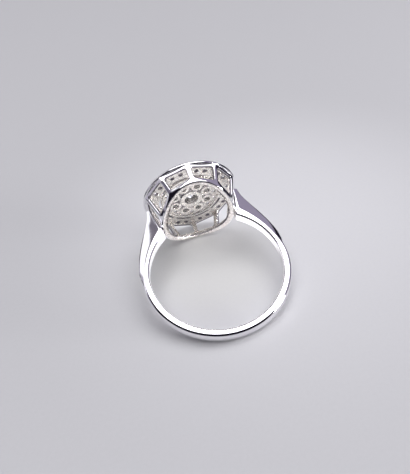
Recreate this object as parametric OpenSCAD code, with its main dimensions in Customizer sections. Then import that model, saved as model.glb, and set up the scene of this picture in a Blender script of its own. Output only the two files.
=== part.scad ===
/* [Shank] */
// Inside radius of the shank, the size of the finger
finger_r = 8.5; // [8.3:0.05:8.7]
// Radial thickness of the shank under the finger
shank_t = 1.1; // [1:0.05:1.15]
// Width of the shank along the finger
shank_w = 1.8; // [1.7:0.05:2]
// Height of the shank's flat side, before its back rounds over
side_t = 0.85; // [0.75:0.05:0.9]

/* [Shoulders] */
// Angle below the finger's level at which a shoulder grows out of the shank
shoulder_start = 15; // [10:1:20]
// Distance of a shoulder's tip from the ring's middle
tip_x = 6.6; // [6.5:0.05:6.7]
// Height of a shoulder's tip above the finger's middle
tip_z = 11.5; // [11.2:0.1:11.8]
// Thickness of a shoulder along its sharp outer edge
edge_w = 0.5; // [0.3:0.05:0.7]
// Angle above the finger's level at which the shank meets the basket
shank_end = 54; // [53:1:55]

/* [Basket] */
// Number of windows around the basket
windows = 10; // [10:10:10]
// Half length of the base rim across the finger
base_x = 5.1; // [5:0.05:5.2]
// Half length of the base rim along the finger
base_y = 6.4; // [6.3:0.05:6.4]
// Height of the base rim above the finger
rim_lift = 1.0; // [0.9:0.05:1.1]
// Radial thickness of the base rim
rim_w = 0.75; // [0.7:0.05:0.8]
// Radial thickness of the wall where it meets the top plate
wall_t = 0.5; // [0.45:0.05:0.6]
// Height of the plain band below the windows
band_h = 0.75; // [0.7:0.05:0.85]
// Height of the facets above the windows, up to the plate's brim
lip_h = 0.42; // [0.35:0.01:0.45]
// Width of a strut between two windows
strut_w = 0.7; // [0.6:0.05:0.8]

/* [Top plate] */
// Radius of the top plate
plate_r = 6.7; // [6.65:0.05:6.8]
// Height of the plate's underside above the finger's middle
plate_z = 12.12; // [12:0.01:12.2]
// Thickness of the plate's border
border_t = 0.75; // [0.7:0.05:0.8]
// Outer radius of the openwork inside the border
frame_r = 4.3; // [4.25:0.05:4.35]
// Width of the curved gaps between the openwork and the border
slot_w = 0.32; // [0.28:0.02:0.32]

/* [Stones] */
// Number of brilliants in the border
border_n = 20; // [20:10:20]
// Radius of a border brilliant
border_stone_r = 0.62; // [0.58:0.01:0.62]
// Radius of the circle that the border brilliants stand on
border_row_r = 5.45; // [5.43:0.01:5.5]
// Number of brilliants in the rosette and in the small row around it
rosette_n = 8; // [8:1:8]
// Radius of a rosette brilliant
petal_stone_r = 0.6; // [0.58:0.01:0.6]
// Radius of the circle that the rosette brilliants stand on
petal_row_r = 2.5; // [2.5:0.01:2.52]
// Radius of a small brilliant outside the rosette
small_stone_r = 0.38; // [0.36:0.01:0.38]
// Radius of the circle that the small brilliants stand on
small_row_r = 3.43; // [3.42:0.01:3.43]
// Radius of the centre brilliant
centre_stone_r = 1.35; // [1.3:0.01:1.36]
// Clearance between a brilliant and its seat
seat_gap = 0.14; // [0.13:0.01:0.16]

/* [Hidden] */
white_gold = [0.86, 0.86, 0.88];
brilliant = [0.8, 0.88, 0.95];

// Heights of the plate and its collets
border_top = plate_z + border_t;
floor_z = plate_z + 0.13;
floor_t = 0.5;
frame_z = plate_z - 0.12;
petal_z = plate_z - 0.17;
petal_top = border_top + 0.13;
centre_z = plate_z - 0.27;
centre_top = border_top + 0.48;
collet_wall = 0.1;
frame_w = 0.3;
frame_step = 0.06;
girdle_drop = 0.08;

// Panels of the basket
panel = 360 / windows;
first_strut = -90;
brim_z = plate_z + lip_h;
wall_top_z = brim_z + 0.08;
core_r = 6.15;
window_top_z = plate_z - 0.03;
wall_top_r = plate_r - 0.03;
panel_steps = 6;
corner_steps = 3;
corner_u = 0.08;
corner_v = 0.12;

// Round back of the shank, an arc through its middle and the two sides
back_rise = shank_t - side_t;
back_r = (pow(shank_w / 2, 2) + pow(back_rise, 2)) / (2 * back_rise);
back_c = finger_r + shank_t - back_r;

// Shoulders: pull of the outer curve at its two ends, and the widths of a section
shoulder_pull = 7;
tip_pull = 3;
edge_steps = 28;
crease_r = 9.1;
crease_rise = 0.5;
crease_from = 20;
crease_w = 1.64;
tip_w = 0.9;
root_w = 0.4;

// Resting pose: the base rim and the side of the shank lie on the surface
rim_top = rim_lift + finger_r;
lay_tilt = atan((base_y - shank_w / 2) / (rim_top + finger_r + side_t));
lay_front = plate_r * sin(lay_tilt) + border_top * cos(lay_tilt);
lay_back = back_c * cos(lay_tilt) + back_r;
lay_drop = base_y * cos(lay_tilt) - rim_top * sin(lay_tilt);

// The ring is built upright, head up and finger along Y, and then laid on its side
module laid() {
    translate([0, (lay_back - lay_front) / 2, lay_drop])
        rotate([lay_tilt - 90, 0, 0])
            children();
}

// Points of a cubic curve and of a quadratic one, a share t of the way along
function cubic(a, b, c, d, t) = let (s = 1 - t)
    s * s * s * a + 3 * s * s * t * b + 3 * s * t * t * c + t * t * t * d;
function quadratic(a, b, c, t) = let (s = 1 - t) s * s * a + 2 * s * t * b + t * t * c;
function polar(r, a) = r * [cos(a), sin(a)];

module shank() {
    rotate([90, 0, 0])
        rotate([0, 0, 180 - shank_end])
            rotate_extrude(angle = 180 + 2 * shank_end, $fn = 120)
                intersection() {
                    translate([finger_r - 0.3, -shank_w / 2])
                        square([shank_t + 0.3, shank_w]);
                    translate([back_c, 0])
                        circle(r = back_r, $fn = 64);
                }
}

// Outer edge of the right shoulder, seen along the finger
function shoulder_edge(t) = let (
    root = polar(finger_r + shank_t - 0.02, -shoulder_start),
    along = [sin(shoulder_start), cos(shoulder_start)],
    tip = [tip_x, tip_z]
) cubic(root, root + shoulder_pull * along, tip - [0, tip_pull], tip, t);

// Section of a shoulder from the finger or the wall, over its crease, to its sharp edge
function shoulder_section(t) = let (
    edge = shoulder_edge(t),
    a = atan2(edge[1], edge[0]),
    rise = max(0, (a - shank_end) / (atan2(tip_z, tip_x) - shank_end)),
    turn = min(a, shank_end),
    grow = min(1, (turn + shoulder_start) / 30),
    inner = quadratic(
        polar(finger_r - 0.2, turn), [base_x - 0.55, finger_r - 0.6], [tip_x - 0.85, tip_z], rise
    ),
    climb = max(0, (turn - crease_from) / (shank_end - crease_from)),
    crease_now = finger_r + side_t + (crease_r - finger_r - side_t) * grow
        + crease_rise * climb * climb,
    crease = polar(crease_now, turn) * (1 - rise) + [tip_x - 0.5, tip_z] * rise,
    w = crease_w + (tip_w - crease_w) * rise,
    edge_half = (root_w + (edge_w - root_w) * grow) / 2
) [
    for (p = [[inner, -w / 2], [crease, -w / 2], [edge, -edge_half], [edge, edge_half],
        [crease, w / 2], [inner, w / 2]])
        [p[0][0], p[1], p[0][1]]
];

module shoulder() {
    n = edge_steps;
    polyhedron(
        points = [for (i = [0:n]) each shoulder_section(i / n)],
        faces = concat(
            [for (i = [1:4]) [0, i, i + 1]],
            [for (i = [1:4]) [6 * n, 6 * n + i + 1, 6 * n + i]],
            [
                for (i = [0:n - 1])
                    for (k = [0:5])
                        let (a = 6 * i + k, b = 6 * i + (k + 1) % 6)
                            each [[a, a + 6, b + 6], [a, b + 6, b]]
            ]
        )
    );
}

// Underside of the base rim follows the finger
function rim_z(x) = rim_lift + sqrt(finger_r * finger_r - x * x);
function base_point(a, inset) = let (x = (base_x - inset) * cos(a))
    [x, (base_y - inset) * sin(a), rim_z(x)];

// Top edge of the wall is a polygon with a corner at each strut
function panel_turn(a) = (a - first_strut) - panel * floor((a - first_strut) / panel) - panel / 2;
function top_point(a, inset) = let (r = wall_top_r * cos(panel / 2) / cos(panel_turn(a)) - inset)
    [r * cos(a), r * sin(a), wall_top_z];

// Point of the outer wall at angle a, a share w of the way up a window
function window_point(a, w) = let (
    low = base_point(a, 0),
    high = top_point(a, 0),
    z = (low[2] + band_h) * (1 - w) + window_top_z * w
) low + (high - low) * (z - low[2]) / (high[2] - low[2]);

module wall() {
    n = windows * panel_steps;
    angles = [for (i = [0:n - 1]) first_strut + i * 360 / n];
    rings = [
        [for (a = angles) base_point(a, 0)],
        [for (a = angles) top_point(a, 0)],
        [for (a = angles) top_point(a, wall_t)],
        [for (a = angles) base_point(a, rim_w)]
    ];
    polyhedron(
        points = [for (ring = rings) each ring],
        faces = [
            for (k = [0:3])
                for (i = [0:n - 1])
                    let (j = (i + 1) % n, m = (k + 1) % 4)
                        each [
                            [k * n + i, m * n + i, m * n + j],
                            [k * n + i, m * n + j, k * n + j]
                        ]
        ]
    );
}

// Outline of a window as shares across and up its panel, with rounded corners
function window_outline(side) = [
    for (c = [[1, 1, 0], [0, 1, 90], [0, 0, 180], [1, 0, 270]])
        for (s = [0:corner_steps])
            let (
                t = c[2] + 90 * s / corner_steps,
                u = c[0] * (1 - 2 * side - 2 * corner_u) + side + corner_u,
                v = c[1] * (1 - 2 * corner_v) + corner_v
            ) [u + corner_u * cos(t), v + corner_v * sin(t)]
];

// Prism that cuts window k through the wall
module window_cut(k) {
    from = first_strut + k * panel;
    middle = from + panel / 2;
    out = [cos(middle), sin(middle), 0];
    side = strut_w / 2 / (2 * wall_top_r * sin(panel / 2));
    loop = [for (p = window_outline(side)) window_point(from + panel * p[0], p[1])];
    n = len(loop);
    polyhedron(
        points = concat([for (p = loop) p + 0.9 * out], [for (p = loop) p - 1.6 * out]),
        faces = concat(
            [for (i = [1:n - 2]) [0, i + 1, i]],
            [for (i = [1:n - 2]) [n, n + i, n + i + 1]],
            [for (i = [0:n - 1]) let (j = (i + 1) % n) each [[i, j, n + j], [i, n + j, n + i]]]
        )
    );
}

module basket() {
    difference() {
        wall();
        for (k = [0:windows - 1])
            window_cut(k);
    }
}

// Children placed n times on a circle, the first at the angle from
module around(n, r, from) {
    for (i = [0:n - 1])
        rotate([0, 0, from + i * 360 / n])
            translate([r, 0, 0])
                children();
}

// Seat of a stone: straight above the girdle, a cone below it and a hole through
module seat(r, girdle, hole, low) {
    translate([0, 0, girdle - 0.03])
        cylinder(r = r + seat_gap, h = 2, $fn = 48);
    translate([0, 0, low])
        cylinder(r1 = hole, r2 = r + seat_gap, h = girdle - 0.03 - low, $fn = 48);
    translate([0, 0, low - 1])
        cylinder(r = hole, h = 1.01, $fn = 48);
}

// Border with its overhanging brim, openwork frame and floor of the plate, turned in one
module plate_blank() {
    inner = frame_r - frame_w;
    rotate_extrude($fn = 120)
        polygon([
            [0, floor_z],
            [inner, floor_z],
            [inner, frame_z],
            [frame_r - frame_step, frame_z],
            [frame_r - frame_step, plate_z],
            [core_r, plate_z],
            [core_r, brim_z],
            [plate_r, brim_z],
            [plate_r, border_top],
            [inner, border_top],
            [inner, floor_z + floor_t],
            [0, floor_z + floor_t]
        ]);
}

module collets() {
    around(rosette_n, petal_row_r, 180 / rosette_n)
        translate([0, 0, petal_z])
            cylinder(r = petal_stone_r + seat_gap + collet_wall, h = petal_top - petal_z, $fn = 48);
    translate([0, 0, centre_z])
        cylinder(r = centre_stone_r + seat_gap + collet_wall, h = centre_top - centre_z, $fn = 64);
}

// Seats of the stones, straight through the plate
module seats() {
    around(border_n, border_row_r, first_strut + 180 / border_n)
        seat(border_stone_r, border_top - girdle_drop, 0.34, plate_z + 0.02);
    around(rosette_n, petal_row_r, 180 / rosette_n)
        seat(petal_stone_r, petal_top - girdle_drop, 0.5, petal_z + 0.2);
    around(rosette_n, small_row_r, 0)
        seat(small_stone_r, floor_z + floor_t - girdle_drop, 0.26, floor_z + 0.05);
    seat(centre_stone_r, centre_top - girdle_drop, 1.1, centre_z + 0.2);
}

// Gaps of the openwork: arcs inside the border and holes beside the rosette
module plate_gaps() {
    bar = 4;
    for (k = [0:windows - 1])
        rotate([0, 0, first_strut + k * panel + bar])
            rotate_extrude(angle = panel - 2 * bar, $fn = 96)
                translate([frame_r, plate_z - 1])
                    square([slot_w, 3]);
    around(rosette_n, petal_row_r - 0.62, 0)
        translate([0, 0, centre_z - 1])
            cylinder(r = 0.17, h = 4, $fn = 24);
    around(rosette_n, frame_r - 0.64, 180 / rosette_n)
        translate([0, 0, centre_z - 1])
            cylinder(r = 0.24, h = 4, $fn = 24);
}

// The soldered metal of the ring
module mounting() {
    color(white_gold)
        laid()
            difference() {
                union() {
                    shank();
                    shoulder();
                    mirror([1, 0, 0])
                        shoulder();
                    basket();
                    plate_blank();
                    collets();
                }
                rotate([90, 0, 0])
                    cylinder(r = finger_r, h = 30, center = true, $fn = 160);
                seats();
                plate_gaps();
            }
}

// A ring of n points of radius r at height z, turned by the angle from
function stone_ring(n, r, z, from) = [
    for (i = [0:n - 1]) [r * cos(from + i * 360 / n), r * sin(from + i * 360 / n), z]
];

// Round brilliant of radius r with its girdle at height 0 and its table up
module brilliant_cut(r) {
    table_r = 0.57;
    table_z = 0.32;
    girdle_z = 0.02;
    bezel_r = 0.82;
    crown_slope = (table_z - girdle_z) / (1 - table_r);
    bezel_z = table_z - (bezel_r * cos(22.5) - table_r) * crown_slope;
    culet_z = -0.88;
    main_r = 0.23;
    main_z = culet_z + main_r * cos(22.5) * 0.863;
    polyhedron(
        points = r * concat(
            stone_ring(8, table_r, table_z, 22.5),
            stone_ring(8, bezel_r, bezel_z, 0),
            stone_ring(16, 1, girdle_z, 0),
            stone_ring(16, 1, -girdle_z, 0),
            stone_ring(8, main_r, main_z, 22.5),
            [[0, 0, culet_z]]
        ),
        faces = concat(
            [for (i = [1:6]) [0, i + 1, i]],
            [
                for (i = [0:7])
                    let (
                        j = (i + 1) % 8,
                        g = 16 + 2 * i,
                        g1 = g + 1,
                        g2 = 16 + (2 * i + 2) % 16,
                        m = (i + 7) % 8
                    ) each [
                        [i, j, 8 + j],
                        [i, 8 + j, g1],
                        [i, g1, 8 + i],
                        [8 + i, g1, g],
                        [8 + j, g2, g1],
                        [g, g1, g1 + 16],
                        [g, g1 + 16, g + 16],
                        [g1, g2, g2 + 16],
                        [g1, g2 + 16, g1 + 16],
                        [g + 16, g1 + 16, 48 + i],
                        [g1 + 16, g2 + 16, 48 + i],
                        [56, 48 + m, g + 16],
                        [56, g + 16, 48 + i]
                    ]
            ]
        )
    );
}

// Brilliant i of n on a circle of radius row, with its girdle at height z
module set_stone(r, n, row, from, i, z) {
    color(brilliant)
        laid()
            rotate([0, 0, from + (i - 1) * 360 / n])
                translate([row, 0, z])
                    brilliant_cut(r);
}

module centre_stone() {
    set_stone(centre_stone_r, 1, 0, 0, 1, centre_top - girdle_drop);
}

module rosette_stone(i) {
    set_stone(petal_stone_r, rosette_n, petal_row_r, 180 / rosette_n, i, petal_top - girdle_drop);
}

module small_stone(i) {
    set_stone(small_stone_r, rosette_n, small_row_r, 0, i, floor_z + floor_t - girdle_drop);
}

module border_stone(i) {
    from = first_strut + 180 / border_n;
    set_stone(border_stone_r, border_n, border_row_r, from, i, border_top - girdle_drop);
}

mounting();
centre_stone();
for (i = [1:rosette_n])
    rosette_stone(i);
for (i = [1:rosette_n])
    small_stone(i);
for (i = [1:border_n])
    border_stone(i);
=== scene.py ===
import math

import bmesh
import bpy
from mathutils import Matrix, Vector


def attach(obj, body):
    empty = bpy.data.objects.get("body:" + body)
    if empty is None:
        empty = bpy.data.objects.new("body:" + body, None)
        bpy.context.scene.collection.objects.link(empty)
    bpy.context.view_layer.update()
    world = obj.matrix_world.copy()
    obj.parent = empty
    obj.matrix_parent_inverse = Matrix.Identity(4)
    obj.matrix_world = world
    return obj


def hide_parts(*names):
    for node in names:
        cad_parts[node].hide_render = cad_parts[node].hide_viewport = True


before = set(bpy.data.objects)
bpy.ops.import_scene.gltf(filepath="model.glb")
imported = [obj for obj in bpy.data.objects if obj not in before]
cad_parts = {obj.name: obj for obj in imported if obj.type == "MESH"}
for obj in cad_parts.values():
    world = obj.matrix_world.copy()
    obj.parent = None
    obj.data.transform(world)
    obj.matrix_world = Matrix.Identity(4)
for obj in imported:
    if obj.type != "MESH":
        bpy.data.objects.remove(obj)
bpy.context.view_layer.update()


# Shank and shoulders: one bar of polished white gold, bent round the finger and soldered
# to the basket. Round-backed under the finger, it sharpens upwards into two flat facets
# that rise to a thin tip beside the head.
MM = 0.001
FINGER_R = 8.5
SHANK_T = 1.1
SHANK_W = 1.8
SIDE_T = 0.85
SHANK_END = 54
SHOULDER_START = 15
SHOULDER_PULL = 7
SHOULDER_W = 1.64
TIP = Vector((6.6, 11.5))
TIP_PULL = 3
TIP_W = 0.9
INNER_BEND = Vector((4.55, 7.9))
INNER_TIP = Vector((5.75, 11.5))
CREASE_R = 9.1
CREASE_RISE = 0.5
CREASE_FROM = 20
CREASE_TIP = Vector((6.1, 11.5))
EDGE_W = 0.4
EDGE_W_GAIN = 0.1
BASE_X = 5.1
BASE_Y = 6.4
RIM_LIFT = 1.0
PLATE_R = 6.7
BORDER_TOP = 12.87
BACK_RISE = SHANK_T - SIDE_T
BACK_R = ((SHANK_W / 2) ** 2 + BACK_RISE ** 2) / (2 * BACK_RISE)
BACK_C = FINGER_R + SHANK_T - BACK_R


def laid_on_its_side():
    """The ring is drawn upright, finger along Y and head up, then lies on rim and shank."""
    rim_top = RIM_LIFT + FINGER_R
    tilt = math.atan((BASE_Y - SHANK_W / 2) / (rim_top + FINGER_R + SIDE_T))
    front = PLATE_R * math.sin(tilt) + BORDER_TOP * math.cos(tilt)
    back = BACK_C * math.cos(tilt) + BACK_R
    lift = BASE_Y * math.cos(tilt) - rim_top * math.sin(tilt)
    move = Matrix.Translation(Vector((0, (back - front) / 2, lift)) * MM)
    return move @ Matrix.Rotation(tilt - math.pi / 2, 4, "X") @ Matrix.Scale(MM, 4)


LAID = laid_on_its_side()


def new_material(name):
    made = bpy.data.materials.new(name)
    made.use_nodes = True
    made.node_tree.nodes.clear()
    return made, made.node_tree


def shader_group(name, inputs, outputs):
    """A shader node group with named sockets, each with its kind and default."""
    tree = bpy.data.node_groups.new(name, "ShaderNodeTree")
    for label, kind, value in inputs:
        socket = tree.interface.new_socket(label, in_out="INPUT", socket_type=kind)
        socket.default_value = value
    for label, kind in outputs:
        tree.interface.new_socket(label, in_out="OUTPUT", socket_type=kind)
    return tree, tree.nodes.new("NodeGroupInput"), tree.nodes.new("NodeGroupOutput")


def add_node(tree, kind, values=None, links=None, **settings):
    """A node with its plain values, its settings and what feeds it."""
    node = tree.nodes.new(kind)
    for key, value in settings.items():
        setattr(node, key, value)
    for key, value in (values or {}).items():
        node.inputs[key].default_value = value
    for key, source in (links or {}).items():
        tree.links.new(source, node.inputs[key])
    return node


# Depth of the polishing lines beside that of the waves
LINE_SHARE = 0.35


def polish_group():
    """Polishing lines, soft waves and small colour changes of a worked metal surface."""
    tree, given, out = shader_group(
        "polish_marks",
        [("Line Scale", "NodeSocketFloat", 3000.0),
         ("Wave Scale", "NodeSocketFloat", 400.0),
         ("Low Roughness", "NodeSocketFloat", 0.05),
         ("High Roughness", "NodeSocketFloat", 0.12),
         ("Light Tone", "NodeSocketColor", (1, 1, 1, 1)),
         ("Dark Tone", "NodeSocketColor", (1, 1, 1, 1))],
        [("Color", "NodeSocketColor"),
         ("Roughness", "NodeSocketFloat"),
         ("Height", "NodeSocketFloat")])
    place = add_node(tree, "ShaderNodeTexCoord").outputs["Object"]
    lines = add_node(tree, "ShaderNodeTexNoise",
                     {"Detail": 4.0, "Roughness": 0.6, "Distortion": 0.4},
                     {"Vector": place, "Scale": given.outputs["Line Scale"]})
    waves = add_node(tree, "ShaderNodeTexNoise", {"Detail": 2.0, "Roughness": 0.5},
                     {"Vector": place, "Scale": given.outputs["Wave Scale"]})
    patches = add_node(tree, "ShaderNodeMapRange", {"From Min": 0.43, "From Max": 0.64},
                       {"Value": waves.outputs["Fac"]})
    tone = add_node(tree, "ShaderNodeMix", links={
        "Factor": patches.outputs[0], 6: given.outputs["Light Tone"],
        7: given.outputs["Dark Tone"]}, data_type="RGBA")
    rough = add_node(tree, "ShaderNodeMapRange", {"From Min": 0.3, "From Max": 0.7}, {
        "Value": lines.outputs["Fac"], "To Min": given.outputs["Low Roughness"],
        "To Max": given.outputs["High Roughness"]})
    height = add_node(tree, "ShaderNodeMath", {1: LINE_SHARE}, {0: lines.outputs["Fac"]},
                      operation="MULTIPLY")
    both = add_node(tree, "ShaderNodeMath", links={0: height.outputs[0], 1: waves.outputs["Fac"]},
                    operation="ADD")
    tree.links.new(tone.outputs[2], out.inputs["Color"])
    tree.links.new(rough.outputs[0], out.inputs["Roughness"])
    tree.links.new(both.outputs[0], out.inputs["Height"])
    return tree


POLISH_MARKS = polish_group()


def white_gold(name, light, dark, low, high, wave_scale, line_scale, depth):
    """White gold: its two tones, its roughness from low to high, and how deep its marks are."""
    made, tree = new_material(name)
    marks = add_node(tree, "ShaderNodeGroup", {
        "Line Scale": line_scale, "Wave Scale": wave_scale, "Low Roughness": low,
        "High Roughness": high, "Light Tone": (*light, 1), "Dark Tone": (*dark, 1)},
        node_tree=POLISH_MARKS)
    bump = add_node(tree, "ShaderNodeBump", {"Strength": 1.0, "Distance": depth * MM},
                    {"Height": marks.outputs["Height"]})
    metal = add_node(tree, "ShaderNodeBsdfPrincipled", {"Metallic": 1.0}, {
        "Base Color": marks.outputs["Color"], "Roughness": marks.outputs["Roughness"],
        "Normal": bump.outputs["Normal"]})
    add_node(tree, "ShaderNodeOutputMaterial", links={"Surface": metal.outputs[0]})
    return made


polished_gold = white_gold("polished_white_gold", light=(0.93, 0.92, 0.94),
                           dark=(0.88, 0.87, 0.90), low=0.04, high=0.10,
                           wave_scale=300.0, line_scale=4000.0, depth=0.004)


def finish_piece(name, mesh_work, materials, smooth):
    """Turns mesh work into a piece of the mounting that lies, and rides, with the ring."""
    bmesh.ops.remove_doubles(mesh_work, verts=mesh_work.verts, dist=1e-5)
    bmesh.ops.recalc_face_normals(mesh_work, faces=mesh_work.faces)
    mesh = bpy.data.meshes.new(name)
    mesh_work.to_mesh(mesh)
    mesh_work.free()
    mesh.transform(LAID)
    for face in mesh.polygons:
        face.use_smooth = True
    mesh.set_sharp_from_angle(angle=math.radians(smooth))
    piece = bpy.data.objects.new(name, mesh)
    bpy.context.scene.collection.objects.link(piece)
    for material in materials:
        mesh.materials.append(material)
    even = piece.modifiers.new("even_shading", "WEIGHTED_NORMAL")
    even.mode = "FACE_AREA"
    even.weight = 70
    even.keep_sharp = True
    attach(piece, "root")
    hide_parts("mounting")


def add_strips(mesh_work, rows, closed_rows=False, closed_across=True, mark=None):
    """Faces between rows of points, each row a closed loop unless told otherwise."""
    made = [[mesh_work.verts.new(p) for p in row] for row in rows]
    count = len(rows)
    for i in range(count if closed_rows else count - 1):
        a, b = made[i], made[(i + 1) % count]
        across = len(a)
        for k in range(across if closed_across else across - 1):
            m = (k + 1) % across
            face = mesh_work.faces.new((a[k], b[k], b[m], a[m]))
            if mark:
                face.material_index = mark(i, k)
    return made


def polar(r, turn):
    return Vector((math.cos(math.radians(turn)), math.sin(math.radians(turn)))) * r


def shoulder_edge(t):
    """Outer edge of a shoulder, from the back of the shank at t 0 to the tip at t 1."""
    start = math.radians(SHOULDER_START)
    root = polar(FINGER_R + SHANK_T, -SHOULDER_START)
    along = Vector((math.sin(start), math.cos(start)))
    s = 1 - t
    return (root * s ** 3 + (root + along * SHOULDER_PULL) * 3 * s * s * t
            + (TIP - Vector((0, TIP_PULL))) * 3 * s * t * t + TIP * t ** 3)


# Roundings of a section's corners, the bevel at the shoulder's edge, and the steps that they
# are drawn in. The back lies a hair inside the solid's.
INNER_ROUND = 0.2
WORN_ROUND = 0.16
SHOULDER_ROUND = 0.36
OUTER_ROUND = 0.45
CREASE_EASE = 0.13
CREASE_STEPS = 4
BEVEL_W = 0.22
BEVEL_DROP = 0.05
BEVEL_SHARES = (0.0, 0.15, 0.82)
EDGE_EASED = 0.04
EDGE_SHORT = 0.01
ROUND_SHARES = (0.0, 0.22, 0.45, 0.67, 0.85, 1.0)
BACK_STEPS = 7
BACK_INSET = 0.007


def rounded(start_turn, end_turn, radius):
    """Offsets along a rounding's arc: how far in from the side and how far up the face."""
    turns = [math.radians(start_turn + (end_turn - start_turn) * s) for s in ROUND_SHARES]
    return [(radius * math.cos(t), radius * math.sin(t)) for t in turns]


def half_round(turn):
    """Half section of the shank from its inner middle to its outer middle, with flat sides."""
    w = SHANK_W / 2
    worn = INNER_ROUND + WORN_ROUND * min(0, math.sin(math.radians(turn))) ** 2
    points = [(polar(FINGER_R, turn), 0), (polar(FINGER_R, turn), w / 2)]
    for out, up in rounded(180, 90, worn):
        points.append((polar(FINGER_R + worn + out, turn), w - worn + up))
    # The side meets the back in a rounding whose far end lies on the back's arc
    soft = math.asin((w - OUTER_ROUND) / (BACK_R - OUTER_ROUND))
    mid = BACK_C - BACK_INSET + (BACK_R - OUTER_ROUND) * math.cos(soft)
    for out, up in rounded(90, math.degrees(soft), OUTER_ROUND):
        points.append((polar(mid + out, turn), w - OUTER_ROUND + up))
    for i in range(1, BACK_STEPS + 1):
        a = soft * (1 - i / BACK_STEPS)
        points.append((polar(BACK_C - BACK_INSET + BACK_R * math.cos(a), turn),
                       BACK_R * math.sin(a)))
    return points


def half_faceted(t):
    """Half section of a shoulder: inner face, side, flat facet and narrow outer edge."""
    edge = shoulder_edge(t)
    turn = math.degrees(math.atan2(edge.y, edge.x))
    top = math.degrees(math.atan2(TIP.y, TIP.x))
    rise = max(0, (turn - SHANK_END) / (top - SHANK_END))
    level = min(turn, SHANK_END)
    grow = min(1, (turn + SHOULDER_START) / (2 * SHOULDER_START))
    inner = (polar(FINGER_R, level) * (1 - rise) ** 2
             + INNER_BEND * 2 * rise * (1 - rise) + INNER_TIP * rise * rise)
    climb = max(0, (level - CREASE_FROM) / (SHANK_END - CREASE_FROM))
    crease_r = (FINGER_R + SIDE_T + (CREASE_R - FINGER_R - SIDE_T) * grow
                + CREASE_RISE * climb * climb)
    crease = polar(crease_r, level) * (1 - rise) + CREASE_TIP * rise
    w = (SHOULDER_W + (TIP_W - SHOULDER_W) * rise) / 2
    narrow = (EDGE_W + EDGE_W_GAIN * grow) / 2
    side = (crease - inner).normalized()
    points = [(inner, 0), (inner, w / 2)]
    for out, up in rounded(180, 90, SHOULDER_ROUND):
        points.append((inner + side * (SHOULDER_ROUND + out), w - SHOULDER_ROUND + up))
    # The crease is eased from a little before it on the side to a little after it
    slope = math.hypot((edge - crease).length, w - narrow)
    along, drop = (edge - crease) / slope, (w - narrow) / slope
    before, after = crease - side * CREASE_EASE, crease + along * CREASE_EASE
    for i in range(CREASE_STEPS + 1):
        n = i / CREASE_STEPS
        points.append((before * (1 - n) ** 2 + crease * 2 * n * (1 - n) + after * n * n,
                       w - drop * CREASE_EASE * n * n))
    # A narrow bevel and a small rounding end the facet at its outer edge
    start, end = edge - along * BEVEL_W, edge
    for share in BEVEL_SHARES:
        points.append((start.lerp(end, share),
                       narrow + drop * BEVEL_W * (1 - share) - BEVEL_DROP * share))
    points.append((edge - along * EDGE_SHORT, narrow - BEVEL_DROP))
    points.append((edge, narrow - BEVEL_DROP - EDGE_EASED))
    points += [(edge, narrow * share) for share in (0.5, 0.25, 0.0)]
    return points


def whole_section(half, flip=1):
    right = [Vector((flip * p.x, -y, p.y)) for p, y in half]
    left = [Vector((flip * p.x, y, p.y)) for p, y in half[1:-1]]
    return right + left[::-1]


def blended(t):
    """The round section turns into the faceted one between the two ends of the root."""
    edge = shoulder_edge(t)
    turn = math.degrees(math.atan2(edge.y, edge.x))
    share = min(1, (turn + SHOULDER_START) / (2 * SHOULDER_START))
    share = share * share * (3 - 2 * share)
    return [(p.lerp(q, share), y + (z - y) * share)
            for (p, y), (q, z) in zip(half_round(turn), half_faceted(t))]


SHOULDER_STEPS = 44
ROUND_STEPS = 76
rows = [whole_section(blended(1 - i / SHOULDER_STEPS)) for i in range(SHOULDER_STEPS)]
for i in range(ROUND_STEPS + 1):
    turn = -SHOULDER_START - (180 - 2 * SHOULDER_START) * i / ROUND_STEPS
    rows.append(whole_section(half_round(turn)))
rows += [whole_section(blended((i + 1) / SHOULDER_STEPS), -1) for i in range(SHOULDER_STEPS)]
work = bmesh.new()
shank_rows = add_strips(work, rows)
work.faces.new(shank_rows[0])
work.faces.new(shank_rows[-1][::-1])
finish_piece("shank_and_shoulders", work, [polished_gold], smooth=50)


# Basket: a tapered wall of white gold around the hollow under the plate, sawn out into ten
# windows. Its foot is rounded over into a rim that follows the finger. The outside is
# polished, and the inside is left as it was cast.
WINDOWS = 10
PANEL = 360 / WINDOWS
FIRST_STRUT = -90
STRUT_W = 0.7
RIM_W = 0.75
BAND_H = 0.75
WALL_T = 0.5
WALL_TOP_Z = 12.6
WALL_TOP_R = 6.67
WINDOW_TOP_Z = 12.09
CORNER_U = 0.10
CORNER_V = 0.16
CORNER_STEPS = 6
UPRIGHT_GROWTH = 1.6
CUT_ROUND = 0.022
CUT_ROUND_DEEP = 0.18
CUT_STEPS = 4
# Depth through the wall down to which a window's cut is painted dark as shade
GAP_SHADE_DEEP = 0.5
INSIDE_DEEP = 0.93
INSIDE_EASE = 0.01
FOOT_ROUND = 0.26
FOOT_STEPS = 6
FOOT_INNER_ROUND = 0.2
FOOT_INNER_STEPS = 4

# Places of the finishes, and of the painted shade, in a piece's list of materials
POLISHED, INNER, GAP_SHADE, RIM_SHADE = range(4)
inner_gold = white_gold("inner_white_gold", light=(1.0, 0.985, 0.95), dark=(0.80, 0.74, 0.69),
                        low=0.09, high=0.24, wave_scale=5200.0, line_scale=11000.0, depth=0.15)
# A darker copy of the inner gold: painted shade on the rim under the wall's foot
rim_shade_gold = white_gold("rim_shade_white_gold", light=(0.76, 0.73, 0.71), dark=(0.50, 0.47, 0.46),
                      low=0.09, high=0.24, wave_scale=5200.0, line_scale=11000.0, depth=0.10)
# A near-black copy of the gold: painted shade on the walls of the window cuts, gaps and holes, and
# on the rim's inner edge
gap_shade_gold = white_gold("gap_shade_white_gold", light=(0.27, 0.25, 0.28), dark=(0.12, 0.11, 0.13),
                       low=0.30, high=0.50, wave_scale=3000.0, line_scale=9000.0, depth=0.03)


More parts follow.
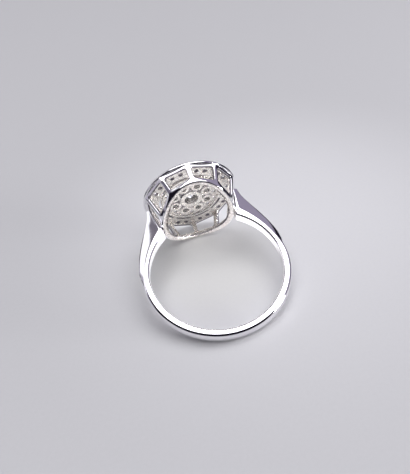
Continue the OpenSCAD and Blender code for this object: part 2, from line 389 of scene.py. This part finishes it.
def base_point(a, inset, lift=0.0):
    """Point of the rim at angle a, which follows the finger."""
    x = (BASE_X - inset) * math.cos(math.radians(a))
    y = (BASE_Y - inset) * math.sin(math.radians(a))
    return Vector((x, y, RIM_LIFT + math.sqrt(FINGER_R ** 2 - x * x) + lift))


def top_point(a, inset):
    """Point of the wall's top at angle a, with a corner at each strut."""
    turn = (a - FIRST_STRUT) % PANEL - PANEL / 2
    r = WALL_TOP_R * math.cos(math.radians(PANEL / 2)) / math.cos(math.radians(turn)) - inset
    return Vector((r * math.cos(math.radians(a)), r * math.sin(math.radians(a)), WALL_TOP_Z))


def wall_point(a, z, depth):
    """Point of the wall at angle a and height z, a share depth of the way through it."""
    low = base_point(a, RIM_W * depth)
    high = top_point(a, WALL_T * depth)
    return low.lerp(high, (z - low.z) / (high.z - low.z))


def window_outline(grown):
    """Loop of a window with rounded corners, as shares across and up its panel."""
    side = STRUT_W / 2 / (2 * WALL_TOP_R * math.sin(math.radians(PANEL / 2)))
    loop = []
    for cu, cv, start in ((1, 1, 0), (0, 1, 90), (0, 0, 180), (1, 0, 270)):
        for s in range(CORNER_STEPS + 1):
            t = math.radians(start + 90 / CORNER_STEPS * s)
            u = cu * (1 - 2 * side - 2 * CORNER_U) + side + CORNER_U
            v = cv * (1 - 2 * CORNER_V) + CORNER_V
            loop.append((u + (CORNER_U + grown) * math.cos(t),
                         v + (CORNER_V + grown * UPRIGHT_GROWTH) * math.sin(t)))
    return loop


def panel_frame():
    """Boundary of a panel, point for point with the window's loop."""
    bound = []
    for corner in range(4):
        for s in range(CORNER_STEPS + 1):
            half = s / CORNER_STEPS
            if corner == 0:
                bound.append((1.0, 0.5 + half) if half <= 0.5 else (1.5 - half, 1.0))
            elif corner == 1:
                bound.append((0.5 - half, 1.0) if half <= 0.5 else (0.0, 1.5 - half))
            elif corner == 2:
                bound.append((0.0, 0.5 - half) if half <= 0.5 else (half - 0.5, 0.0))
            else:
                bound.append((0.5 + half, 0.0) if half <= 0.5 else (1.0, half - 0.5))
    return bound


def window_point(k, u, v, depth):
    """Point of window k, where v goes from its sill at 0 to its top at 1."""
    a = FIRST_STRUT + k * PANEL + PANEL * u
    sill = base_point(a, 0).z + BAND_H
    return wall_point(a, sill * (1 - v) + WINDOW_TOP_Z * v, depth)


def panel_point(k, u, v, depth):
    """Point of panel k, where v goes from the foot's rounding at 0 to the wall's top at 1."""
    a = FIRST_STRUT + k * PANEL + PANEL * u
    low = base_point(a, 0).z + FOOT_ROUND
    return wall_point(a, low * (1 - v) + WALL_TOP_Z * v, depth)


# Loops of a window's cut from the outside in: how far each is grown, and how deep it lies
WINDOW_LOOPS = []
for i in range(CUT_STEPS + 1):
    a = math.radians(90 / CUT_STEPS * i)
    WINDOW_LOOPS.append((CUT_ROUND * (1 - math.sin(a)), CUT_ROUND_DEEP * (1 - math.cos(a))))
WINDOW_LOOPS += [(0.0, GAP_SHADE_DEEP), (0.0, INSIDE_DEEP), (INSIDE_EASE, 1.0)]


def window_mark(i, k):
    """Strips from the outside in: polished face and edge, the outer part of the cut painted dark
    as shade, matt inside.
    """
    return INNER if i > CUT_STEPS + 1 else GAP_SHADE if i >= CUT_STEPS else POLISHED


def foot_mark(i, k):
    """Strips from the outside in: polished rounding, the rim painted darker as shade, and its
    inner edge painted dark as shade.
    """
    if k >= FOOT_STEPS + FOOT_INNER_STEPS:
        return GAP_SHADE
    return RIM_SHADE if k >= FOOT_STEPS - 2 else POLISHED


work = bmesh.new()
for k in range(WINDOWS):
    rows = [[panel_point(k, u, v, 0) for u, v in panel_frame()]]
    for grown, depth in WINDOW_LOOPS:
        rows.append([window_point(k, u, v, depth) for u, v in window_outline(grown)])
    rows.append([panel_point(k, u, v, 1) for u, v in panel_frame()])
    add_strips(work, rows, mark=window_mark)

# Foot of the wall, from the outside round under the rim to the inside
foot_section = []
for i in range(1, FOOT_STEPS + 1):
    a = math.radians(90 / FOOT_STEPS * i)
    foot_section.append((FOOT_ROUND * (1 - math.cos(a)), FOOT_ROUND * (1 - math.sin(a))))
for i in range(FOOT_INNER_STEPS + 1):
    a = math.radians(90 / FOOT_INNER_STEPS * i)
    foot_section.append((RIM_W - FOOT_INNER_ROUND * (1 - math.sin(a)),
                         FOOT_INNER_ROUND * (1 - math.cos(a))))
foot_shares = sorted({round(u, 6) for u, v in panel_frame() if v == 0.0})
rows = []
for k in range(WINDOWS):
    for share in foot_shares[:-1]:
        a = FIRST_STRUT + PANEL * (k + share)
        start = wall_point(a, base_point(a, 0).z + FOOT_ROUND, 0)
        end = wall_point(a, base_point(a, 0).z + FOOT_ROUND, 1)
        rows.append([start] + [base_point(a, inset, lift) for inset, lift in foot_section] + [end])
add_strips(work, rows, closed_rows=True, closed_across=False, mark=foot_mark)
finish_piece("basket", work, [polished_gold, inner_gold, gap_shade_gold, rim_shade_gold], smooth=30)


# Top border: a round frame of white gold with a rounded brim, soldered on the basket's wall.
# Seats and holes for its twenty stones are drilled through it, and ten curved gaps are sawn
# inside their row. The underside is left matt.
FRAME_Z = 12.0
PLATE_Z = 12.12
FLOOR_Z = 12.25
BRIM_Z = 12.54
BRIM_INSET = 0.2
CORE_R = 6.15
CORE_SPARE = 0.1
FRAME_BORE_R = 4.0
FRAME_R = 4.3
FRAME_STEP = 0.06
BORDER_N = 20
BORDER_R = 5.45
FIRST_BORDER = FIRST_STRUT + 180 / BORDER_N
BORDER_SEAT_R = 0.66
BORDER_HOLE_R = 0.3
HOLE_LEAN = 2.5
GAP_W = 0.32
GAP_BAR = 4
GAP_STEPS = 14
SHEET_EASE = 0.03
BRIM_EASE = 0.04
JOIN = 0.02
LIP_HALF = 0.235
LIP_DEPTH = 0.26
LIP_SINK = 0.004
LIP_STEPS = 6
LIP_TUCK_R = 6.2
LIP_TUCK_DROP = 0.1
# How far out the upright walls of gaps, holes and frame lie
GAP_WALL = (FRAME_R + GAP_W - 0.08, FRAME_R + GAP_W + 0.02)
HOLE_WALLS = (BORDER_R - 0.35, BORDER_R + 0.35)
FRAME_WALL = (FRAME_BORE_R - 0.1, FRAME_BORE_R + 0.02)


def ring_outline(x, y, r, steps):
    return [(x + r * math.cos(2 * math.pi * i / steps), y + r * math.sin(2 * math.pi * i / steps))
            for i in range(steps)]


def ring_of(count, r, first):
    """Places of count things on a circle, the first at the angle first."""
    return [tuple(polar(r, first + i * 360 / count)) for i in range(count)]


def gap_outline(k):
    """Curved gap inside the border, between two bars."""
    start = FIRST_STRUT + k * PANEL + GAP_BAR
    turns = [start + (PANEL - 2 * GAP_BAR) * i / GAP_STEPS for i in range(GAP_STEPS + 1)]
    return ([tuple(polar(FRAME_R, t)) for t in turns]
            + [tuple(polar(FRAME_R + GAP_W, t)) for t in turns[::-1]])


def sheet_mesh(outlines, low, high, ease):
    """A flat sheet from low to high with its outlines cut through and its edges eased."""
    curve = bpy.data.curves.new("cut", "CURVE")
    curve.dimensions = "2D"
    curve.fill_mode = "BOTH"
    curve.extrude = (high - low) / 2 - ease
    curve.bevel_depth = ease
    curve.bevel_resolution = 1
    curve.offset = -ease
    for outline in outlines:
        spline = curve.splines.new("POLY")
        spline.points.add(len(outline) - 1)
        for point, (x, y) in zip(spline.points, outline):
            point.co = (x, y, 0, 1)
        spline.use_cyclic_u = True
    cutter = bpy.data.objects.new("cut", curve)
    bpy.context.scene.collection.objects.link(cutter)
    bpy.context.view_layer.update()
    made = bpy.data.meshes.new_from_object(
        cutter.evaluated_get(bpy.context.evaluated_depsgraph_get()))
    made.transform(Matrix.Translation((0, 0, (low + high) / 2)))
    bpy.data.objects.remove(cutter)
    bpy.data.curves.remove(curve)
    return made


def turned(mesh_work, x, y, profile, steps, mark=None):
    """A closed profile of radii and heights, turned round an upright axis at x, y."""
    rows = []
    for i in range(steps):
        c, s = math.cos(2 * math.pi * i / steps), math.sin(2 * math.pi * i / steps)
        rows.append([Vector((x + r * c, y + r * s, z)) for r, z in profile])
    add_strips(mesh_work, rows, closed_rows=True, mark=mark)


def within(value, limits):
    return limits[0] < value < limits[1]


def sheets(name, layers, matt_below, lip=None):
    """Several cut sheets as one piece, matt below a height, with the walls of its lower gaps and
    of its holes below that height painted dark as shade.
    """
    work = bmesh.new()
    if lip:
        turned(work, 0, 0, lip, steps=160)
    for outlines, low, high, ease in layers:
        made = sheet_mesh(outlines, low, high, ease)
        work.from_mesh(made)
        bpy.data.meshes.remove(made)
    for face in work.faces:
        middle = face.calc_center_median()
        upright = abs(face.normal.z) < 0.5
        out = math.hypot(middle.x, middle.y)
        matt = middle.z < matt_below
        # Painted shade: the walls of the gaps on the lower side, and of the holes below the brim,
        # are dark
        if upright and within(out, GAP_WALL) and middle.y > 0:
            face.material_index = GAP_SHADE
        elif upright and within(out, HOLE_WALLS) and matt:
            face.material_index = GAP_SHADE
        elif upright and within(out, FRAME_WALL) and middle.z < FLOOR_Z:
            face.material_index = POLISHED
        else:
            face.material_index = INNER if matt and out < CORE_R + CORE_SPARE else POLISHED
    finish_piece(name, work, [polished_gold, inner_gold, gap_shade_gold], smooth=28)


border_places = ring_of(BORDER_N, BORDER_R, FIRST_BORDER)
gaps = [gap_outline(k) for k in range(WINDOWS)]
bore = ring_outline(0, 0, FRAME_BORE_R, steps=96)
border_low = [ring_outline(0, 0, CORE_R, steps=120), bore] + gaps
# Each drilled hole leans a little towards the middle of its window
for place in range(BORDER_N):
    lean = HOLE_LEAN if place % 2 == 0 else -HOLE_LEAN
    hole = polar(BORDER_R, FIRST_BORDER + 360 / BORDER_N * place + lean)
    border_low.append(ring_outline(hole.x, hole.y, BORDER_HOLE_R, steps=20))
border_high = [ring_outline(0, 0, PLATE_R - BRIM_INSET, steps=160), bore] + gaps
border_high += [ring_outline(x, y, BORDER_SEAT_R, steps=28) for x, y in border_places]
frame_low = [ring_outline(0, 0, FRAME_R - FRAME_STEP, steps=96), bore]
# The brim's outer edge is rounded over
lip = []
for n in range(-LIP_STEPS, LIP_STEPS + 1):
    a = math.radians(90 / LIP_STEPS * n)
    lip.append((PLATE_R - LIP_DEPTH * (1 - math.cos(a)),
                BORDER_TOP - LIP_SINK - LIP_HALF * (1 - math.sin(a))))
lip += [(LIP_TUCK_R, BORDER_TOP - LIP_TUCK_DROP), (LIP_TUCK_R, BORDER_TOP - 2 * LIP_HALF)]
sheets("top_border", [(border_low, PLATE_Z, BRIM_Z + JOIN, SHEET_EASE),
                      (border_high, BRIM_Z, BORDER_TOP, BRIM_EASE),
                      (frame_low, FRAME_Z, PLATE_Z + JOIN, SHEET_EASE)],
       BRIM_Z - JOIN, lip)


# Plate floor: a round sheet of white gold let into the frame of the border. It is cut out for
# the collets, stepped for the eight small stones, and drilled with small gaps between them.
FLOOR_R = 4.03
FLOOR_MID = 12.5
FLOOR_TOP = 12.75
ROSETTE_N = 8
ROSETTE_R = 2.5
ROSETTE_HOLE_R = 0.62
CENTRE_HOLE_R = 1.3
SMALL_R = 3.43
SMALL_BORE_R = 0.27
SMALL_SEAT_R = 0.42
INNER_GAP_R = 1.88
INNER_GAP_HALF = 0.17
OUTER_GAP_R = 3.66
OUTER_GAP_HALF = 0.24

rosette_places = ring_of(ROSETTE_N, ROSETTE_R, 180 / ROSETTE_N)
small_places = ring_of(ROSETTE_N, SMALL_R, 0)
cut_out = [ring_outline(0, 0, FLOOR_R, steps=96)]
cut_out += [ring_outline(x, y, INNER_GAP_HALF, steps=16)
            for x, y in ring_of(ROSETTE_N, INNER_GAP_R, 0)]
cut_out += [ring_outline(x, y, OUTER_GAP_HALF, steps=16)
            for x, y in ring_of(ROSETTE_N, OUTER_GAP_R, 180 / ROSETTE_N)]
cut_out += [ring_outline(x, y, ROSETTE_HOLE_R, steps=28) for x, y in rosette_places]
cut_out += [ring_outline(0, 0, CENTRE_HOLE_R, steps=48)]
floor_low = cut_out + [ring_outline(x, y, SMALL_BORE_R, steps=18) for x, y in small_places]
floor_high = cut_out + [ring_outline(x, y, SMALL_SEAT_R, steps=24) for x, y in small_places]
sheets("plate_floor", [(floor_low, FLOOR_Z, FLOOR_MID + JOIN, SHEET_EASE),
                       (floor_high, FLOOR_MID, FLOOR_TOP, SHEET_EASE)],
       FLOOR_MID + JOIN / 2)


# Collets: nine short tubes of white gold turned on a lathe, open at the back, that hold the
# centre brilliant and the rosette around it. They are soldered into the floor of the plate.
GIRDLE_DROP = 0.08
COLLET_WALL = 0.24
COLLET_EASE = 0.03
COLLET_INSIDE = (0, 7, 8, 9, 10)
ROSETTE_STONE_R = 0.6
ROSETTE_Z = 11.95
ROSETTE_TOP = 13.0
ROSETTE_BORE = 0.42
CENTRE_STONE_R = 1.35
CENTRE_Z = 11.85
CENTRE_TOP = 13.35
CENTRE_BORE = 0.95


def collet_profile(stone_r, low, top, bore):
    """Closed profile of a collet: outside, rounded lip, seat, and bore."""
    girdle = top - GIRDLE_DROP
    out = stone_r + COLLET_WALL
    return [(out - COLLET_EASE, low), (out, low + 0.04), (out, top - 0.08),
            (out - COLLET_EASE, top - 0.02), (out - 0.08, top), (stone_r - 0.01, top),
            (stone_r - COLLET_EASE, top - COLLET_EASE), (stone_r + 0.015, girdle - 0.02),
            (bore + COLLET_EASE, low + 0.12), (bore, low + 0.06), (bore + COLLET_EASE, low)]


def collet_mark(i, k):
    return INNER if k in COLLET_INSIDE else POLISHED


work = bmesh.new()
for x, y in rosette_places:
    turned(work, x, y, collet_profile(ROSETTE_STONE_R, ROSETTE_Z, ROSETTE_TOP, ROSETTE_BORE),
           36, collet_mark)
finish_piece("rosette_collets", work, [polished_gold, inner_gold], smooth=35)
work = bmesh.new()
turned(work, 0, 0, collet_profile(CENTRE_STONE_R, CENTRE_Z, CENTRE_TOP, CENTRE_BORE),
       64, collet_mark)
finish_piece("centre_collet", work, [polished_gold, inner_gold], smooth=35)


# Grains: beads of metal raised with a graver from the plate and pushed over the edges of
# the stones, four to each stone of the border and three to each small one.
GRAIN_RINGS = 4
GRAIN_SIDES = 10
BORDER_GRAIN_R = 0.13
BORDER_GRAIN_AT = 0.64
BORDER_GRAIN_SUNK = 0.04
SMALL_GRAIN_R = 0.09
SMALL_GRAIN_AT = 0.42
SMALL_GRAIN_SUNK = 0.03


def grain(mesh_work, x, y, z, r):
    """Half of a ball on the plate."""
    rows = []
    for i in range(GRAIN_RINGS):
        a = math.radians(90 * i / GRAIN_RINGS)
        rows.append([Vector((x + r * math.cos(a) * math.cos(b), y + r * math.cos(a) * math.sin(b),
                             z + r * math.sin(a)))
                     for b in [2 * math.pi * n / GRAIN_SIDES for n in range(GRAIN_SIDES)]])
    made = add_strips(mesh_work, rows)
    peak = mesh_work.verts.new((x, y, z + r))
    for n in range(GRAIN_SIDES):
        mesh_work.faces.new((made[-1][n], made[-1][(n + 1) % GRAIN_SIDES], peak))


work = bmesh.new()
for place, (x, y) in enumerate(border_places):
    facing = FIRST_BORDER + 360 / BORDER_N * place
    for turn in (45, 135, 225, 315):
        step = polar(BORDER_GRAIN_AT, facing + turn)
        grain(work, x + step.x, y + step.y, BORDER_TOP - BORDER_GRAIN_SUNK, BORDER_GRAIN_R)
for place, (x, y) in enumerate(small_places):
    for turn in (60, 180, 300):
        step = polar(SMALL_GRAIN_AT, 360 / ROSETTE_N * place + turn)
        grain(work, x + step.x, y + step.y, FLOOR_TOP - SMALL_GRAIN_SUNK, SMALL_GRAIN_R)
finish_piece("grains", work, [polished_gold], smooth=60)


# Brilliants: thirty-seven round stones in four sizes, cut with a table and facets, the
# large one in the middle. They sit in the collets and under the grains, as the source has
# them.
def veil_group():
    """Faint clouds in a stone, and an underside that is duller than its polished crown."""
    tree, given, out = shader_group(
        "stone_veil",
        [("Scale", "NodeSocketFloat", 900.0),
         ("Clear", "NodeSocketColor", (1, 1, 1, 1)),
         ("Veiled", "NodeSocketColor", (0.95, 0.95, 0.97, 1)),
         ("Crown Axis", "NodeSocketVector", (0.0, 0.96, 0.28)),
         ("Dull Roughness", "NodeSocketFloat", 0.06)],
        [("Color", "NodeSocketColor"), ("Roughness", "NodeSocketFloat")])
    place = add_node(tree, "ShaderNodeTexCoord")
    shape = add_node(tree, "ShaderNodeNewGeometry")
    cloud = add_node(tree, "ShaderNodeTexNoise", {"Detail": 3.0},
                     {"Vector": place.outputs["Object"], "Scale": given.outputs["Scale"]})
    tone = add_node(tree, "ShaderNodeMix", links={
        "Factor": cloud.outputs["Fac"], 6: given.outputs["Clear"],
        7: given.outputs["Veiled"]}, data_type="RGBA")
    faces_up = add_node(tree, "ShaderNodeVectorMath", links={
        0: shape.outputs["True Normal"], 1: given.outputs["Crown Axis"]},
        operation="DOT_PRODUCT")
    rough = add_node(tree, "ShaderNodeMapRange",
                     {"From Min": 0.05, "From Max": -0.2, "To Min": 0.01}, {
                         "Value": faces_up.outputs["Value"],
                         "To Max": given.outputs["Dull Roughness"]})
    tree.links.new(tone.outputs[2], out.inputs["Color"])
    tree.links.new(rough.outputs[0], out.inputs["Roughness"])
    return tree


brilliant, tree = new_material("brilliant_stone")
veil = add_node(tree, "ShaderNodeGroup", node_tree=veil_group())
stone = add_node(tree, "ShaderNodeBsdfPrincipled",
                 {"Metallic": 0.0, "Transmission Weight": 1.0, "IOR": 2.42},
                 {"Base Color": veil.outputs["Color"], "Roughness": veil.outputs["Roughness"]})
add_node(tree, "ShaderNodeOutputMaterial", links={"Surface": stone.outputs[0]})
for name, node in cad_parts.items():
    if name != "mounting":
        node.data.materials.clear()
        node.data.materials.append(brilliant)


# Floor, light and camera: a plain pale sheet under soft overhead light, with dark surroundings
# low down for the metal's edges to mirror, and the camera where the photograph was taken.
# Places are in metres, as the ring lies.
FLOOR_HALF = 0.6
LIGHT_MIDDLE = (0.012, 0.010, 0.0)
WINDOW_LIGHT = (0.0015, 0.0105, 0.0)
UNDER_HEAD = (0.0, 0.003, 0.0)
LIT_MIDDLE = (-0.0057, -0.0082, 0.0)


def stepped(tree, source, low, high, to_low=0.0, to_high=1.0, kind="SMOOTHSTEP"):
    """A value that goes from to_low to to_high while its source goes from low to high."""
    return add_node(tree, "ShaderNodeMapRange",
                    {"From Min": low, "From Max": high, "To Min": to_low, "To Max": to_high},
                    {"Value": source}, interpolation_type=kind).outputs[0]


def multiplied(tree, first, *others):
    for other in others:
        first = add_node(tree, "ShaderNodeMath", links={0: first, 1: other},
                         operation="MULTIPLY").outputs[0]
    return first


def added_on(tree, value, share, base):
    """Base with a share of a value added, where base is a number or another output."""
    values, links = ({}, {2: base}) if isinstance(base, bpy.types.NodeSocket) else ({2: base}, {})
    return add_node(tree, "ShaderNodeMath", values, {0: value, 1: share, **links},
                    operation="MULTIPLY_ADD").outputs[0]


corners = [(x * FLOOR_HALF, y * FLOOR_HALF, 0) for x, y in ((-1, -1), (1, -1), (1, 1), (-1, 1))]
floor_mesh = bpy.data.meshes.new("floor")
floor_mesh.from_pydata(corners, [], [(0, 1, 2, 3)])
floor = bpy.data.objects.new("floor", floor_mesh)
bpy.context.scene.collection.objects.link(floor)
paper, tree = new_material("pale_paper")
place = add_node(tree, "ShaderNodeTexCoord").outputs["Object"]
spot = add_node(tree, "ShaderNodeSeparateXYZ", links={0: place})
path = add_node(tree, "ShaderNodeLightPath")


def away_from(middle):
    return add_node(tree, "ShaderNodeVectorMath", {1: middle}, {0: place},
                    operation="DISTANCE").outputs["Value"]


fibres = add_node(tree, "ShaderNodeTexNoise", {"Scale": 2500.0, "Detail": 3.0}, {"Vector": place})
grey = stepped(tree, fibres.outputs["Fac"], 0.0, 1.0, 0.54, 0.57, "LINEAR")
# The sheet is a little paler in the middle of the light, behind the ring
fading = stepped(tree, away_from(LIGHT_MIDDLE), 0.008, 0.042, 1.0, 0.82)
# Light that falls through the windows keeps the sheet pale under the head
lifted = stepped(tree, away_from(WINDOW_LIGHT), 0.002, 0.0080, 1.25, 1.0)
# Light thrown back and forth between the head and the sheet brightens what the head mirrors,
# and it fails close to where the rim shuts it off from the sheet
under_head = away_from(UNDER_HEAD)
gathered = multiplied(tree, stepped(tree, under_head, 0.0055, 0.0085, 1.5, 0.0),
                      stepped(tree, spot.outputs["Y"], 0.0072, 0.0084, 1.0, 0.0))
thrown = added_on(tree, gathered, path.outputs["Is Glossy Ray"], 1.0)
# Through the stones the sheet shows broken up into bright and dark glints
glints = add_node(tree, "ShaderNodeTexNoise", {"Scale": 160.0, "Detail": 1.0}, {"Vector": place})
broken = stepped(tree, glints.outputs["Fac"], 0.42, 0.56, -0.2, 3.2, "LINEAR")
boost = added_on(tree, broken, path.outputs["Is Transmission Ray"], thrown)
tone = multiplied(tree, grey, fading, lifted, boost)
# Painted warm light: the sheet turns warmer near the head, as if the gold threw its colour on it
warm_light_blue = multiplied(tree, tone, stepped(tree, under_head, 0.005, 0.013, 0.99, 1.03))
colour = add_node(tree, "ShaderNodeCombineColor", links={"Red": tone, "Green": tone, "Blue": warm_light_blue})
sheet = add_node(tree, "ShaderNodeBsdfPrincipled", {"Roughness": 0.7},
                 {"Base Color": colour.outputs[0]})
# The metal mirrors the pale sheet only as far as the light falls on it
reach = away_from(LIT_MIDDLE)
dark = add_node(tree, "ShaderNodeMath", links={
    0: stepped(tree, reach, 0.0340, 0.0365, kind="LINEAR"),
    1: stepped(tree, spot.outputs["Y"], -0.0165, -0.0195, kind="LINEAR")}, operation="MAXIMUM")
shade = multiplied(tree, path.outputs["Is Glossy Ray"], dark.outputs[0])
to_left = multiplied(tree, stepped(tree, spot.outputs["X"], -0.030, -0.036, kind="LINEAR"),
                     stepped(tree, reach, 0.060, 0.075, kind="LINEAR"))
unlit_tone = add_node(tree, "ShaderNodeMix",
                      {6: (0.02, 0.017, 0.03, 1), 7: (0.45, 0.43, 0.50, 1)},
                      {"Factor": to_left}, data_type="RGBA")
unlit = add_node(tree, "ShaderNodeEmission", {"Strength": 1.0}, {"Color": unlit_tone.outputs[2]})
both = add_node(tree, "ShaderNodeMixShader", links={
    0: shade, 1: sheet.outputs[0], 2: unlit.outputs[0]})
add_node(tree, "ShaderNodeOutputMaterial", links={"Surface": both.outputs[0]})
floor_mesh.materials.append(paper)

world = bpy.data.worlds.new("studio")
bpy.context.scene.world = world
world.use_nodes = True
tree = world.node_tree
tree.nodes.clear()
outward = add_node(tree, "ShaderNodeTexCoord").outputs["Generated"]
axes = add_node(tree, "ShaderNodeSeparateXYZ", links={0: outward})


def edge(source, low, high):
    """Mask that rises from 0 to 1 while its source goes from low to high."""
    return stepped(tree, source, low, high)


def edge_of(axis, low, high):
    return edge(axes.outputs[axis], low, high)


def slanting(x, y, z):
    """Height of a direction above a plane that is tilted."""
    return add_node(tree, "ShaderNodeVectorMath", {1: (x, y, z)}, {0: outward},
                    operation="DOT_PRODUCT").outputs["Value"]


def painted(ground, mask, tint):
    """A ground, which is a colour or an output, with a tint laid over it by a mask."""
    node = add_node(tree, "ShaderNodeMix", {7: tint}, {"Factor": mask}, data_type="RGBA")
    if isinstance(ground, tuple):
        node.inputs[6].default_value = ground
    else:
        tree.links.new(ground, node.inputs[6])
    return node.outputs[2]


slant = slanting(-0.81, 0.0, 1.0)
height = slanting(0.12, -0.06, 1.0)
# Dim violet behind on the left
behind = multiplied(tree, edge_of("X", 0.1, -0.1), edge_of("Y", 0.82, 0.78),
                    edge_of("Y", 0.1, 0.3), edge_of("Z", 0.25, 0.45))
sky = painted((0.008, 0.006, 0.012, 1), behind, (0.27, 0.25, 0.32, 1))
# Pale violet low on the left, level with the head
beside = multiplied(tree, edge_of("X", -0.6, -0.8), edge_of("Y", -0.05, 0.1),
                    edge_of("Z", 0.3, 0.15))
sky = painted(sky, beside, (0.45, 0.43, 0.50, 1))
# Violet wall to the right, above the horizon
wall = multiplied(tree, edge(slanting(1.0, 0.5, 0.0), 0.15, 0.8), edge_of("Z", 0.08, 0.17),
                  edge_of("Y", 0.77, 0.74))
sky = painted(sky, wall, (0.30, 0.27, 0.36, 1))
# Slanting bright window behind on the left
window = multiplied(tree, edge(slant, 0.74, 0.80), edge(slant, 1.30, 1.20),
                    edge_of("X", -0.10, -0.16), edge_of("Z", 0.80, 0.76),
                    edge_of("Y", 0.30, 0.40))
sky = painted(sky, window, (1.2, 1.2, 1.25, 1))
# Bright ceiling
ceiling = multiplied(tree, edge(height, 0.765, 0.80), edge(slanting(0.12, 0.25, 1.0), 0.66, 0.70))
sky = painted(sky, ceiling, (2.6, 2.58, 2.66, 1))
# A grey seam between window and ceiling draws the crease of the shoulders
seam = multiplied(tree, edge(slanting(-0.65, -0.06, 1.0), 0.84, 0.87), edge(height, 0.54, 0.58),
                  edge(height, 0.90, 0.87), edge(slant, 1.12, 1.10),
                  edge_of("Y", 0.15, 0.25), edge_of("X", 0.08, 0.0))
sky = painted(sky, seam, (0.18, 0.165, 0.20, 1))
# The stones gather many small lights from all round
path = add_node(tree, "ShaderNodeLightPath")
lamps = add_node(tree, "ShaderNodeTexNoise", {"Scale": 4.5, "Detail": 1.0}, {"Vector": outward})
lit = painted((0.30, 0.27, 0.28, 1), edge(lamps.outputs["Fac"], 0.42, 0.52),
              (3.2, 3.1, 3.12, 1))
seen = add_node(tree, "ShaderNodeMix", links={
    "Factor": path.outputs["Is Transmission Ray"], 6: sky, 7: lit}, data_type="RGBA")
backdrop = add_node(tree, "ShaderNodeBackground", {"Strength": 1.0}, {"Color": seen.outputs[2]})
add_node(tree, "ShaderNodeOutputWorld", links={"Surface": backdrop.outputs[0]})


def soft_light(name, place, aim, size, power):
    light = bpy.data.lights.new(name, "AREA")
    light.shape = "RECTANGLE"
    light.size, light.size_y = size
    light.energy = power
    lamp = bpy.data.objects.new(name, light)
    bpy.context.scene.collection.objects.link(lamp)
    lamp.location = place
    lamp.rotation_euler = (Vector(aim) - Vector(place)).to_track_quat("-Z", "Y").to_euler()


soft_light("overhead", (0.06, 0.08, 0.40), aim=(0, 0, 0), size=(0.16, 0.16), power=0.12)
soft_light("side", (0.26, -0.15, 0.022), aim=(0, 0, 0.008), size=(0.10, 0.03), power=1.2)

camera = bpy.data.cameras.new("camera")
camera.lens = 43.9
camera.sensor_width = 36
camera.sensor_fit = "HORIZONTAL"
camera.clip_start = 0.001
viewer = bpy.data.objects.new("camera", camera)
bpy.context.scene.collection.objects.link(viewer)
eye = Vector((-0.008443, -0.047617, 0.048168))
forward = Vector((0.12681, 0.75106, -0.64794))
right = Vector((0.95817, -0.26170, -0.11582))
up = right.cross(forward)
viewer.matrix_world = Matrix((
    (right.x, up.x, -forward.x, eye.x),
    (right.y, up.y, -forward.y, eye.y),
    (right.z, up.z, -forward.z, eye.z),
    (0, 0, 0, 1)))
bpy.context.scene.camera = viewer
bpy.context.scene.view_settings.view_transform = "Standard"
